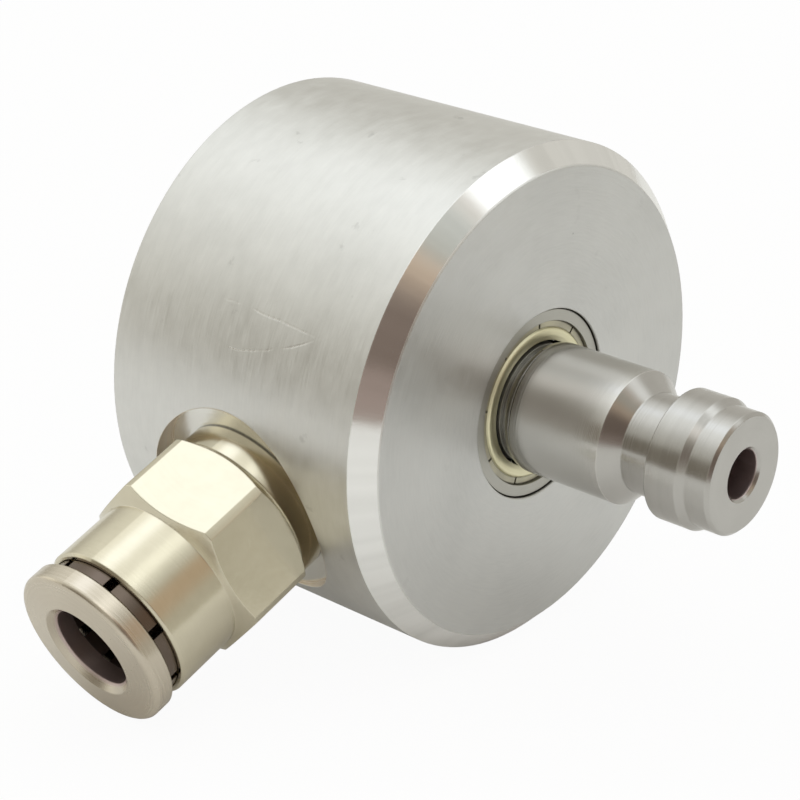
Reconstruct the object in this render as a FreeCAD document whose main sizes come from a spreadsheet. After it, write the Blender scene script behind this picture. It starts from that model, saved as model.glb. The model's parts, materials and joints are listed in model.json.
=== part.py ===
import FreeCAD, Part
import math
import os
import Sketcher

# Rotary union: a round housing lies on its side with a tube fitting screwed into that side.
# A hollow shaft, ending in a quick coupling plug, turns in the housing on two ball bearings.
# The origin is the middle of the flat rear face. The plug points to -Y and +Z is up.
# Lengths are millimetres and angles are degrees.

DRIVING = {
    # Fits
    "press_gap": 0.01,
    "running_gap": 0.03,
    "sliding_gap": 0.05,
    # Housing
    "housing_dia": 32.0,
    "housing_length": 20.8,
    "front_bevel": 1.3,
    "rear_edge_break": 0.2,
    "bore_lead": 0.06,
    "web_clearance": 0.15,
    # Side port, from the housing's outside towards the shaft
    "pocket_clearance": 1.4,
    "port_pocket_depth": 1.55,
    "thread_dia": 8.0,
    "thread_gap": 0.04,
    "passage_dia": 3.2,
    # Rear cover and shaft clip
    "cover_dia": 13.8,
    "cover_thickness": 0.8,
    "cover_edge_break": 0.15,
    "cover_gap": 0.3,
    "shaft_end_land": 0.6,
    "clip_thickness": 0.7,
    "clip_clearance": 0.2,
    "clip_band": 1.45,
    "clip_groove_dia": 4.0,
    "clip_prong_width": 1.3,
    # Ball bearings
    "bearing_bore": 6.0,
    "bearing_section": 3.0,
    "rear_bearing_width": 3.0,
    "front_bearing_width": 4.0,
    "front_bearing_recess": 0.2,
    "ring_edge_break": 0.1,
    "inner_ring_wall": 0.75,
    "outer_ring_wall": 1.0,
    "race_wall": 0.508,
    "ball_count": 7,
    "race_relief": 0.05,
    "cage_band": 0.55,
    "cage_base": 0.258,
    "cage_lip": 0.1,
    "cage_gap": 0.05,
    # Shields of the front bearing, with a slit flange that springs into the outer ring
    "shield_seat_wall": 0.78,
    "shield_thickness": 0.15,
    "shield_flange_width": 0.45,
    "shield_flange_depth": 0.22,
    "shield_step_width": 0.1,
    "shield_step_round": 0.12,
    "shield_shoulder_depth": 0.07,
    "shield_crest_width": 0.24,
    "shield_crest_depth": 0.03,
    "shield_crest_round": 1.0,
    "shield_lip_depth": 0.12,
    "shield_clearance": 0.21,
    "shield_slit_width": 0.16,
    "shield_slit_count": 9,
    "shield_slit_turn": 12.0,
    # Shaft seals and lantern ring
    "seal_width": 2.5,
    "seal_wall": 0.62,
    "seal_lip_height": 0.75,
    "lantern_width": 3.8,
    "lantern_clearance": 0.5,
    "lantern_groove_width": 2.4,
    "lantern_groove_depth": 0.6,
    "lantern_hole_dia": 1.7,
    # Shaft and quick coupling plug, forward from the front bearing
    "neck_rise": 0.5,
    "neck_length": 0.53,
    "root_collar_drop": 0.1,
    "root_collar_length": 0.33,
    "root_line_width": 0.13,
    "root_line_depth": 0.13,
    "shank_dia": 8.2,
    "shank_length": 7.2,
    "plug_cone_length": 1.0,
    "plug_groove_dia": 6.2,
    "plug_groove_length": 2.3,
    "plug_head_dia": 8.0,
    "plug_head_length": 2.1,
    "plug_slope_length": 0.45,
    "plug_nose_dia": 7.4,
    "plug_nose_length": 1.4,
    "plug_edge_break": 0.2,
    "flow_bore": 3.0,
    "flow_bore_bevel": 0.2,
    "flow_bore_margin": 1.4,
    "drill_point": 118.0,
    "cross_hole_dia": 1.6,
    # Tube fitting, outwards from the floor of the port's pocket
    "stud_length": 6.0,
    "stud_clearance": 0.6,
    "collar_rim": 0.3,
    "collar_length": 2.0,
    "collar_round": 0.3,
    "fitting_seal_section": 0.8,
    "fitting_seal_gap": 0.2,
    "hex_flats": 11.0,
    "hex_corner_trim": 0.15,
    "hex_length": 5.65,
    "hex_turn": 45.7,
    "hex_back_slope": 35.0,
    "hex_chamfer": 30.0,
    "barrel_wall": 0.35,
    "barrel_length": 4.5,
    "barrel_edge_break": 0.15,
    # Tube seat inside the fitting
    "tube_dia": 5.0,
    "tube_gap": 0.05,
    "tube_seat_length": 2.0,
    "chamber_slack": 0.3,
    "seal_washer_thickness": 0.6,
    "mouth_depth": 1.8,
    "stop_ring_band": 0.7,
    "stop_ring_thickness": 0.8,
    # Release collet
    "release_stroke": 0.9,
    "release_end_gap": 0.04,
    "release_ring_overhang": 0.15,
    "release_ring_thickness": 1.36,
    "release_ring_round": 0.35,
    "release_rear_break": 0.12,
    "release_crown": 5.0,
    "release_bore_gap": 0.2,
    "release_bore_bevel": 0.45,
    "finger_count": 8,
    "finger_wall": 1.4,
    "finger_slot": 0.6,
    "finger_slot_turn": 22.5,
    "finger_bulge": 0.25,
    "finger_bulge_length": 0.9,
    "finger_tooth": 0.1,
    "finger_tooth_length": 0.3,
}

doc = FreeCAD.newDocument("rotary_union")
sheet = doc.addObject("Spreadsheet::Sheet", "Sizes")
for row, (name, number) in enumerate(DRIVING.items(), start=1):
    sheet.set(f"A{row}", name)
    sheet.set(f"B{row}", str(number))
    sheet.setAlias(f"B{row}", name)
doc.recompute()


class Size:
    """A size worked out from the sheet: its value now and the formula that keeps it current."""

    def __init__(self, value, formula):
        self.value = value
        self.formula = formula

    def __add__(self, other):
        other = as_size(other)
        return Size(self.value + other.value, f"({self.formula} + {other.formula})")

    def __sub__(self, other):
        other = as_size(other)
        return Size(self.value - other.value, f"({self.formula} - {other.formula})")

    def __mul__(self, other):
        other = as_size(other)
        return Size(self.value * other.value, f"({self.formula} * {other.formula})")

    def __truediv__(self, other):
        other = as_size(other)
        return Size(self.value / other.value, f"({self.formula} / {other.formula})")

    def __neg__(self):
        return Size(-self.value, f"(-{self.formula})")


class SheetSizes:
    """The sheet's cells by name, such as size.housing_dia."""

    def __getattr__(self, name):
        return Size(float(sheet.get(name)), f"Sizes.{name}")


size = SheetSizes()


def as_size(number):
    return number if isinstance(number, Size) else Size(float(number), repr(number))


def tangent(angle):
    return Size(math.tan(math.radians(angle.value)), f"tan({angle.formula} * 1 deg)")


def resting_tilt(radius, reach, height):
    """Angle below level at which a point (reach, radius) of the fitting comes down to the height."""
    value = math.asin(height.value / math.hypot(reach.value, radius.value))
    value -= math.atan2(radius.value, reach.value)
    length = f"sqrt({reach.formula} ^ 2 + {radius.formula} ^ 2)"
    formula = f"(asin({height.formula} / {length}) - atan({radius.formula} / {reach.formula})) / 1 deg"
    return Size(math.degrees(value), formula)


# Helpers for bodies, sketches and features

def new_body(name):
    body = doc.addObject("PartDesign::Body", name)
    body.Label = name
    return body


def origin_item(body, role):
    return [item for item in body.Origin.OriginFeatures if item.Role == role][0]


def new_sketch(body, name, plane):
    """An empty sketch on one of the body's own origin planes."""
    sketch = body.newObject("Sketcher::SketchObject", name)
    sketch.AttachmentSupport = [(origin_item(body, plane), "")]
    sketch.MapMode = "FlatFace"
    return sketch


def tie_point(sketch, element, vertex, place):
    """Holds a vertex at a place (across, along), each a number or a size of the sheet."""
    for kind, axis, coordinate in (("DistanceX", -2, place[0]), ("DistanceY", -1, place[1])):
        if coordinate == 0:
            sketch.addConstraint(Sketcher.Constraint("PointOnObject", element, vertex, axis))
            continue
        coordinate = as_size(coordinate)
        constraint = Sketcher.Constraint(kind, -1, 1, element, vertex, coordinate.value)
        index = sketch.addConstraint(constraint)
        sketch.setExpression(f"Constraints[{index}]", coordinate.formula)


def vector(place):
    return FreeCAD.Vector(as_size(place[0]).value, as_size(place[1]).value, 0)


def add_outline(sketch, places):
    """A closed outline of straight lines through the given places."""
    first = sketch.GeometryCount
    count = len(places)
    for index, place in enumerate(places):
        end = places[(index + 1) % count]
        sketch.addGeometry(Part.LineSegment(vector(place), vector(end)))
    for index, place in enumerate(places):
        after = first + (index + 1) % count
        sketch.addConstraint(Sketcher.Constraint("Coincident", first + index, 2, after, 1))
        tie_point(sketch, first + index, 1, place)


def add_box(sketch, low, high):
    add_outline(sketch, [low, (high[0], low[1]), high, (low[0], high[1])])


def add_circle(sketch, centre, radius):
    circle = Part.Circle(vector(centre), FreeCAD.Vector(0, 0, 1), radius.value)
    element = sketch.addGeometry(circle)
    tie_point(sketch, element, 3, centre)
    index = sketch.addConstraint(Sketcher.Constraint("Radius", element, radius.value))
    sketch.setExpression(f"Constraints[{index}]", radius.formula)


def finish(body, feature):
    body.Tip = feature
    doc.recompute()
    return feature


def check_change(before, after, grows):
    """Stops the build where a cut or an added boss has missed its body."""
    if (after.Volume > before.Volume) != grows or after.Volume == before.Volume:
        raise RuntimeError("a feature changed nothing")


def revolve(body, kind, name, sketch, axis="V_Axis"):
    feature = body.newObject(f"PartDesign::{kind}", name)
    feature.Profile = sketch
    feature.ReferenceAxis = (sketch, [axis])
    feature.Angle = 360
    return finish(body, feature)


def turned_body(name, places):
    """A body turned about its Z axis from an outline of places (radius, station)."""
    body = new_body(name)
    sketch = new_sketch(body, name + "_outline", "XZ_Plane")
    add_outline(sketch, places)
    revolve(body, "Revolution", name + "_turned", sketch)
    return body


def groove_round(body, name, radius, station, section):
    """Cuts a round-bottomed groove, such as a ball race, about the body's Z axis."""
    before = body.Shape.copy()
    sketch = new_sketch(body, name + "_section", "XZ_Plane")
    add_circle(sketch, (radius, station), section)
    revolve(body, "Groove", name, sketch)
    check_change(before, body.Shape, grows=False)


def extrude(body, kind, name, sketch, length, reverse=False):
    before = body.Shape.copy()
    feature = body.newObject(f"PartDesign::{kind}", name)
    feature.Profile = sketch
    feature.setExpression("Length", length.formula)
    feature.Length = length.value
    feature.Reversed = reverse
    finish(body, feature)
    if not before.isNull():
        check_change(before, body.Shape, grows=kind == "Pad")
    return feature


def drill_across(body, name, station, diameter):
    """A round hole straight across the body, through its Z axis."""
    before = body.Shape.copy()
    sketch = new_sketch(body, name + "_circle", "XZ_Plane")
    add_circle(sketch, (0, station), half(diameter))
    feature = body.newObject("PartDesign::Pocket", name)
    feature.Profile = sketch
    feature.Type = "ThroughAll"
    feature.SideType = "Symmetric"
    finish(body, feature)
    check_change(before, body.Shape, grows=False)
    return feature


def repeat_round(body, feature, count, angle=360):
    """Repeats a feature about the body's Z axis, over a full turn or a part of one."""
    pattern = body.newObject("PartDesign::PolarPattern", feature.Name + "_repeat")
    pattern.Originals = [feature]
    pattern.Axis = (origin_item(body, "Z_Axis"), [""])
    pattern.Angle = angle
    if isinstance(count, Size):
        pattern.setExpression("Occurrences", count.formula)
    pattern.Occurrences = int(as_size(count).value)
    return finish(body, pattern)


def lift_sketch(sketch, station, turn=None):
    """Moves a flat sketch along its normal to a station, and turns it about that normal."""
    angle = as_size(0) if turn is None else turn
    sketch.AttachmentOffset = FreeCAD.Placement(
        FreeCAD.Vector(0, 0, station.value),
        FreeCAD.Rotation(FreeCAD.Vector(0, 0, 1), angle.value))
    sketch.setExpression("AttachmentOffset.Base.z", station.formula)
    if turn is not None:
        sketch.setExpression("AttachmentOffset.Rotation.Angle", turn.formula)


def half(length):
    return length / 2


# A hexagon's corners lie this much further out than its flats.
HEXAGON_CORNER = 2 / math.sqrt(3)

# Stations along the shaft, forward from the rear face
shaft_rear = size.cover_thickness + size.cover_gap
clip_rear = shaft_rear + size.shaft_end_land
rear_bearing_rear = clip_rear + size.clip_thickness
rear_seal_rear = rear_bearing_rear + size.rear_bearing_width
lantern_rear = rear_seal_rear + size.seal_width
port_station = lantern_rear + half(size.lantern_width)
lantern_front = lantern_rear + size.lantern_width
web_rear = lantern_front + size.seal_width
front_face = size.housing_length
front_bearing_front = front_face - size.front_bearing_recess
front_bearing_rear = front_bearing_front - size.front_bearing_width

# Distances along the port, outwards from the shaft axis
port_floor = half(size.housing_dia) - size.port_pocket_depth
stud_end = port_floor - size.stud_length
thread_floor = stud_end - size.stud_clearance
collar_end = port_floor + size.collar_length
hex_end = collar_end + size.hex_length
barrel_end = hex_end + size.barrel_length
mouth_floor = barrel_end - size.mouth_depth
stop_ring_end = mouth_floor + size.stop_ring_thickness
neck_end = stop_ring_end + size.release_stroke + size.sliding_gap
finger_end = mouth_floor - size.sliding_gap - size.finger_bulge_length
release_rear = barrel_end + size.release_stroke + size.release_end_gap
release_front = release_rear + size.release_ring_thickness

# Radii that several pieces share
housing_radius = half(size.housing_dia)
seat_radius = half(size.bearing_bore)
bearing_radius = seat_radius + size.bearing_section
pitch_radius = (bearing_radius + seat_radius) / 2
ball_radius = half(size.bearing_section) - size.race_wall
inner_ring_radius = seat_radius + size.inner_ring_wall
shield_seat_radius = bearing_radius - size.shield_seat_wall
seal_groove_inner = half(size.thread_dia) + size.fitting_seal_gap
seal_groove_outer = seal_groove_inner + size.fitting_seal_section
collar_radius = seal_groove_outer + size.collar_rim
tube_radius = half(size.tube_dia)
release_bore_radius = tube_radius + size.release_bore_gap
release_rim_radius = release_bore_radius + size.release_bore_bevel
finger_radius = release_bore_radius + size.finger_wall
bulge_radius = finger_radius + size.finger_bulge
chamber_radius = bulge_radius + size.sliding_gap
mouth_radius = finger_radius + size.stop_ring_band
barrel_radius = mouth_radius + size.barrel_wall
release_ring_radius = barrel_radius + size.release_ring_overhang

# Tube seat inside the fitting, from the collet inwards
tube_seal_section = chamber_radius - tube_radius
washer_end = finger_end - size.release_stroke - size.chamber_slack
washer_rear = washer_end - size.seal_washer_thickness
chamber_floor = washer_rear - tube_seal_section
tube_stop = chamber_floor - size.tube_seat_length

# The fitting points down until its release ring rests on the same table as the housing.
rounding_reach = size.release_ring_round * tangent((as_size(90) - size.release_crown) / 2)
port_tilt = resting_tilt(
    release_ring_radius - size.release_ring_round,
    release_front - rounding_reach,
    housing_radius - size.release_ring_round)


# Housing

def make_housing():
    """One turned piece: a stepped bore with a web, and a flat-bottomed port in its side."""
    cover_radius = half(size.cover_dia)
    web_radius = inner_ring_radius + size.web_clearance
    body = turned_body("housing", [
        (cover_radius, 0),
        (housing_radius - size.rear_edge_break, 0),
        (housing_radius, size.rear_edge_break),
        (housing_radius, front_face - size.front_bevel),
        (housing_radius - size.front_bevel, front_face),
        (bearing_radius + size.bore_lead, front_face),
        (bearing_radius, front_face - size.bore_lead),
        (bearing_radius, front_bearing_rear),
        (web_radius, front_bearing_rear),
        (web_radius, web_rear),
        (bearing_radius, web_rear),
        (bearing_radius, size.cover_thickness),
        (cover_radius, size.cover_thickness)])
    before = body.Shape.copy()
    sketch = new_sketch(body, "port_outline", "XZ_Plane")
    sketch.AttachmentOffset = FreeCAD.Placement(
        FreeCAD.Vector(0, port_station.value, 0),
        FreeCAD.Rotation(FreeCAD.Vector(0, 1, 0), 180 + port_tilt.value))
    sketch.setExpression("AttachmentOffset.Base.y", port_station.formula)
    sketch.setExpression("AttachmentOffset.Rotation.Angle", f"180 + {port_tilt.formula}")
    passage_radius = half(size.passage_dia)
    thread_radius = half(size.thread_dia)
    pocket_radius = collar_radius + size.pocket_clearance
    inside = bearing_radius * 0.8
    outside = housing_radius * 1.1
    add_outline(sketch, [
        (inside, 0),
        (outside, 0),
        (outside, pocket_radius),
        (port_floor, pocket_radius),
        (port_floor, thread_radius),
        (thread_floor, thread_radius),
        (thread_floor, passage_radius),
        (inside, passage_radius)])
    revolve(body, "Groove", "port", sketch, "H_Axis")
    check_change(before, body.Shape, grows=False)
    return body


def make_rear_cover():
    """A flat disc pressed into the rear face, flush with it."""
    radius = half(size.cover_dia) - size.press_gap
    return turned_body("rear_cover", [
        (0, 0),
        (radius - size.cover_edge_break, 0),
        (radius, size.cover_edge_break),
        (radius, size.cover_thickness),
        (0, size.cover_thickness)])


# Shaft

def make_shaft():
    """Hollow shaft and plug in one: the tube's flow enters at the cross holes and leaves at the nose."""
    neck_radius = seat_radius + size.neck_rise
    shank_radius = half(size.shank_dia)
    root_collar_radius = shank_radius - size.root_collar_drop
    root_line_radius = root_collar_radius - size.root_line_depth
    plug_groove_radius = half(size.plug_groove_dia)
    head_radius = half(size.plug_head_dia)
    nose_radius = half(size.plug_nose_dia)
    flow_radius = half(size.flow_bore)
    clip_groove_radius = half(size.clip_groove_dia)
    clip_groove_rear = clip_rear - size.running_gap
    neck_end = front_bearing_front + size.neck_length
    root_collar_end = neck_end + size.root_collar_length
    root_line_end = root_collar_end + size.root_line_width
    root_bevel = size.plug_edge_break / 2
    shank_end = front_face + size.shank_length
    cone_end = shank_end + size.plug_cone_length
    groove_end = cone_end + size.plug_groove_length
    head_end = groove_end + size.plug_head_length
    slope_end = head_end + size.plug_slope_length
    nose_end = slope_end + size.plug_nose_length + size.plug_edge_break
    bore_floor = port_station - size.flow_bore_margin
    bore_point = bore_floor - flow_radius / tangent(half(size.drill_point))
    body = turned_body("rotor_shaft", [
        (0, shaft_rear),
        (seat_radius - size.ring_edge_break, shaft_rear),
        (seat_radius, shaft_rear + size.ring_edge_break),
        (seat_radius, clip_groove_rear),
        (clip_groove_radius, clip_groove_rear),
        (clip_groove_radius, rear_bearing_rear),
        (seat_radius, rear_bearing_rear),
        (seat_radius, front_bearing_front),
        (neck_radius, front_bearing_front),
        (neck_radius, neck_end),
        (root_collar_radius - root_bevel, neck_end),
        (root_collar_radius, neck_end + root_bevel),
        (root_collar_radius, root_collar_end),
        (root_line_radius, root_collar_end),
        (root_line_radius, root_line_end),
        (shank_radius, root_line_end),
        (shank_radius, shank_end),
        (plug_groove_radius, cone_end),
        (plug_groove_radius, groove_end),
        (head_radius, groove_end),
        (head_radius, head_end),
        (nose_radius, slope_end),
        (nose_radius, nose_end - size.plug_edge_break),
        (nose_radius - size.plug_edge_break, nose_end),
        (flow_radius + size.flow_bore_bevel, nose_end),
        (flow_radius, nose_end - size.flow_bore_bevel),
        (flow_radius, bore_floor),
        (0, bore_point)])
    hole = drill_across(body, "cross_hole", port_station, size.cross_hole_dia)
    repeat_round(body, hole, 2, angle=90)
    return body


def make_shaft_clip():
    """An open clip with three prongs that sits in the shaft's rear groove."""
    body = new_body("shaft_clip")
    inner = seat_radius + size.clip_clearance
    outer = inner + size.clip_band
    sketch = new_sketch(body, "clip_band_outline", "XY_Plane")
    add_circle(sketch, (0, 0), outer)
    add_circle(sketch, (0, 0), inner)
    lift_sketch(sketch, clip_rear)
    extrude(body, "Pad", "clip_ring", sketch, size.clip_thickness)
    prong = new_sketch(body, "clip_prong_outline", "XY_Plane")
    reach = half(size.clip_groove_dia)
    add_box(prong, (-half(size.clip_prong_width), reach), (half(size.clip_prong_width), inner * 1.1))
    lift_sketch(prong, clip_rear)
    pad = extrude(body, "Pad", "clip_prong", prong, size.clip_thickness)
    repeat_round(body, pad, 3, angle=180)
    mouth = new_sketch(body, "clip_mouth_outline", "XY_Plane")
    add_box(mouth, (0, -reach), (outer * 1.1, reach))
    lift_sketch(mouth, clip_rear)
    extrude(body, "Pocket", "clip_opening", mouth, size.clip_thickness, reverse=True)
    return body


# Ball bearings

def make_bearing(prefix, rear, width, shielded):
    """Outer ring, inner ring, balls and cage; a shielded ring has a stepped seat at both faces."""
    front = rear + width
    middle = rear + width / 2
    outside = bearing_radius - size.press_gap
    bore = seat_radius + size.press_gap
    edge = size.ring_edge_break
    shoulder = bearing_radius - size.outer_ring_wall
    race = ball_radius + size.race_relief
    race_offset = size.race_relief - size.running_gap
    seat = shield_seat_radius
    depth = size.shield_flange_depth + size.shield_thickness + size.press_gap
    outline = [(outside - edge, rear), (outside, rear + edge)]
    outline += [(outside, front - edge), (outside - edge, front)]
    if shielded:
        outline += [(seat, front), (seat, front - depth), (shoulder, front - depth)]
        outline += [(shoulder, rear + depth), (seat, rear + depth), (seat, rear)]
    else:
        outline += [(shoulder, front), (shoulder, rear)]
    outer = turned_body(f"{prefix}_bearing_outer_ring", outline)
    groove_round(outer, f"{prefix}_outer_race", pitch_radius - race_offset, middle, race)
    inner = turned_body(f"{prefix}_bearing_inner_ring", [
        (bore + edge, rear),
        (inner_ring_radius, rear),
        (inner_ring_radius, front),
        (bore + edge, front),
        (bore, front - edge),
        (bore, rear + edge)])
    groove_round(inner, f"{prefix}_inner_race", pitch_radius + race_offset, middle, race)
    return [outer, inner, make_balls(prefix, middle), make_cage(prefix, middle)]


def make_balls(prefix, middle):
    """A ring of balls on the pitch circle, as one set."""
    body = new_body(f"{prefix}_bearing_balls")
    ball = body.newObject("PartDesign::AdditiveSphere", f"{prefix}_ball")
    ball.Radius = ball_radius.value
    ball.setExpression("Radius", ball_radius.formula)
    ball.Placement.Base = FreeCAD.Vector(pitch_radius.value, 0, middle.value)
    ball.setExpression("Placement.Base.x", pitch_radius.formula)
    ball.setExpression("Placement.Base.z", middle.formula)
    finish(body, ball)
    repeat_round(body, ball, size.ball_count)
    return body


def make_cage(prefix, middle):
    """A crown cage: a band beside the balls, with a round pocket open to one side for each."""
    half_band = half(size.cage_band)
    pocket_radius = ball_radius + size.cage_gap
    back = middle - pocket_radius - size.cage_base
    body = turned_body(f"{prefix}_bearing_cage", [
        (pitch_radius - half_band, back),
        (pitch_radius + half_band, back),
        (pitch_radius + half_band, middle - size.cage_lip),
        (pitch_radius - half_band, middle - size.cage_lip)])
    sketch = new_sketch(body, f"{prefix}_pocket_circle", "YZ_Plane")
    add_circle(sketch, (0, middle), pocket_radius)
    pocket = extrude(body, "Pocket", f"{prefix}_pocket", sketch, bearing_radius, reverse=True)
    repeat_round(body, pocket, size.ball_count)
    return body


def make_shield(prefix, face, side):
    """A dished shield at one face of the front bearing, with radial slits through its flange."""

    def deep(distance):
        return face - distance * side

    seat = shield_seat_radius - size.press_gap
    step_foot = seat - size.shield_flange_width
    step_top = step_foot - size.shield_step_width
    crest_radius = step_top - size.shield_crest_width
    bore = inner_ring_radius + size.shield_clearance
    flange = size.shield_flange_depth
    shoulder = size.shield_shoulder_depth
    crest = size.shield_crest_depth
    lip = size.shield_lip_depth
    thick = size.shield_thickness
    shield = turned_body(f"{prefix}_shield", [
        (seat, deep(flange)),
        (step_foot, deep(flange)),
        (step_top, deep(shoulder)),
        (crest_radius, deep(crest)),
        (bore, deep(lip)),
        (bore, deep(lip + thick)),
        (crest_radius, deep(crest + thick)),
        (step_top - thick / 2, deep(shoulder + thick)),
        (step_foot - thick / 2, deep(flange + thick)),
        (seat, deep(flange + thick))])
    round_ring_edge(shield, step_top, deep(shoulder), size.shield_step_round)
    round_ring_edge(shield, crest_radius, deep(crest), size.shield_crest_round)
    sketch = new_sketch(shield, f"{prefix}_slit_outline", "XY_Plane")
    half_slit = half(size.shield_slit_width)
    add_box(sketch, (step_foot, -half_slit), (seat * 1.05, half_slit))
    lift_sketch(sketch, deep(flange + thick) if side > 0 else deep(flange), size.shield_slit_turn)
    slit = extrude(shield, "Pocket", f"{prefix}_slit", sketch, thick, reverse=True)
    repeat_round(shield, slit, size.shield_slit_count)
    return shield


# Seals and lantern ring

def make_shaft_seal(name, back, side):
    """A rubber lip seal: a sleeve, a web at the back and a lip that leans towards the flow."""

    def ahead(distance):
        return back + distance * side

    outside = bearing_radius - size.press_gap
    lip = seat_radius + size.running_gap
    wall = size.seal_wall
    height = size.seal_lip_height
    width = size.seal_width
    return turned_body(name, [
        (outside, ahead(0)),
        (outside, ahead(width)),
        (outside - wall, ahead(width)),
        (outside - wall, ahead(wall)),
        (lip + height, ahead(wall)),
        (lip + height, ahead(width - wall)),
        (lip + height / 2, ahead(width - wall / 2)),
        (lip, ahead(width - wall)),
        (lip + height / 2, ahead(wall / 2)),
        (lip + height / 2, ahead(0))])


def make_lantern_ring():
    """The spacer between the seals: it passes the flow from the port to the shaft's cross holes."""
    outside = bearing_radius - size.press_gap
    inside = seat_radius + size.lantern_clearance
    floor = outside - size.lantern_groove_depth
    groove_rear = port_station - half(size.lantern_groove_width)
    groove_front = port_station + half(size.lantern_groove_width)
    body = turned_body("lantern_ring", [
        (inside, lantern_rear),
        (outside, lantern_rear),
        (outside, groove_rear),
        (floor, groove_rear),
        (floor, groove_front),
        (outside, groove_front),
        (outside, lantern_front),
        (inside, lantern_front)])
    hole = drill_across(body, "lantern_hole", port_station, size.lantern_hole_dia)
    repeat_round(body, hole, 2, angle=90)
    return body


# Tube fitting

def make_fitting_body():
    """Plated brass: a stud, a round collar, a hexagon with turned corners and a plain barrel."""
    stud = half(size.thread_dia) - size.thread_gap
    passage = half(size.passage_dia)
    corner = half(size.hex_flats) * HEXAGON_CORNER - size.hex_corner_trim
    corner_start = collar_end + (corner - collar_radius) * tangent(size.hex_back_slope)
    corner_end = hex_end - (corner - barrel_radius) * tangent(size.hex_chamfer)
    groove_roof = port_floor + size.fitting_seal_section
    body = turned_body("fitting_body", [
        (passage, stud_end),
        (stud, stud_end),
        (stud, port_floor),
        (seal_groove_inner, port_floor),
        (seal_groove_inner, groove_roof),
        (seal_groove_outer, groove_roof),
        (seal_groove_outer, port_floor),
        (collar_radius, port_floor),
        (collar_radius, collar_end),
        (corner, corner_start),
        (corner, corner_end),
        (barrel_radius, hex_end),
        (barrel_radius, barrel_end - size.barrel_edge_break),
        (barrel_radius - size.barrel_edge_break, barrel_end),
        (mouth_radius, barrel_end),
        (mouth_radius, mouth_floor),
        (chamber_radius, mouth_floor),
        (chamber_radius, chamber_floor),
        (tube_radius + size.tube_gap, chamber_floor),
        (tube_radius + size.tube_gap, tube_stop),
        (passage, tube_stop)])
    round_ring_edge(body, collar_radius, collar_end, size.collar_round)
    before = body.Shape.copy()
    sketch = new_sketch(body, "hex_flat_outline", "XY_Plane")
    half_side = size.hex_flats * 0.3
    add_box(sketch, (half(size.hex_flats), -half_side), (corner * 1.1, half_side))
    lift_sketch(sketch, collar_end, size.hex_turn)
    flat = extrude(body, "Pocket", "hex_flat", sketch, size.hex_length, reverse=True)
    repeat_round(body, flat, 6)
    check_change(before, body.Shape, grows=False)
    return body


def make_seal_ring(name, inner, outer, rear, front):
    """A rubber ring as its groove squeezes it: flat where it touches, bevelled at the corners."""
    low = inner + size.press_gap
    high = outer - size.press_gap
    back = rear + size.press_gap
    ahead = front - size.press_gap
    bevel = (high - low) / 4
    return turned_body(name, [
        (low + bevel, back),
        (high - bevel, back),
        (high, back + bevel),
        (high, ahead - bevel),
        (high - bevel, ahead),
        (low + bevel, ahead),
        (low, ahead - bevel),
        (low, back + bevel)])


def make_plain_ring(name, inner, outer, rear, front):
    return turned_body(name, [(inner, rear), (outer, rear), (outer, front), (inner, front)])


def make_collet():
    """The release ring with its slotted fingers: pushed in, it lets the tube go."""
    bore = release_bore_radius
    ring = release_ring_radius
    neck = mouth_radius - size.sliding_gap
    tooth = bore - size.finger_tooth
    bulge_end = finger_end + size.finger_bulge_length
    release_tip = release_front + (ring - release_rim_radius) * tangent(size.release_crown)
    body = turned_body("release_collet", [
        (tooth, finger_end),
        (bulge_radius - size.finger_bulge, finger_end),
        (bulge_radius, finger_end + size.finger_bulge),
        (bulge_radius, bulge_end),
        (finger_radius, bulge_end),
        (finger_radius, neck_end),
        (neck, neck_end),
        (neck, release_rear),
        (ring - size.release_rear_break, release_rear),
        (ring, release_rear + size.release_rear_break),
        (ring, release_front),
        (release_rim_radius, release_tip),
        (bore, release_tip - size.release_bore_bevel),
        (bore, finger_end + size.finger_tooth_length),
        (tooth, finger_end + size.finger_tooth_length)])
    round_ring_edge(body, ring, release_front, size.release_ring_round)
    before = body.Shape.copy()
    sketch = new_sketch(body, "finger_slot_outline", "XY_Plane")
    half_slot = half(size.finger_slot)
    add_box(sketch, (tooth * 0.9, -half_slot), (neck * 1.02, half_slot))
    lift_sketch(sketch, finger_end, size.finger_slot_turn)
    slot = extrude(body, "Pocket", "finger_slots", sketch, release_rear - finger_end, reverse=True)
    repeat_round(body, slot, size.finger_count)
    check_change(before, body.Shape, grows=False)
    return body


def round_ring_edge(body, radius, station, rounding):
    """Rounds the circular edge that has this radius and station."""
    for index, edge in enumerate(body.Shape.Edges, start=1):
        box = edge.BoundBox
        same_station = abs(box.ZMin - station.value) + abs(box.ZMax - station.value) < 0.001
        if same_station and abs(box.XMax - radius.value) < 0.001:
            base = body.Tip
            feature = body.newObject("PartDesign::Fillet", body.Name + "_rounding")
            feature.Base = (base, [f"Edge{index}"])
            feature.Radius = rounding.value
            feature.setExpression("Radius", rounding.formula)
            finish(body, feature)
            return
    raise RuntimeError("the edge to round is missing")


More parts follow.
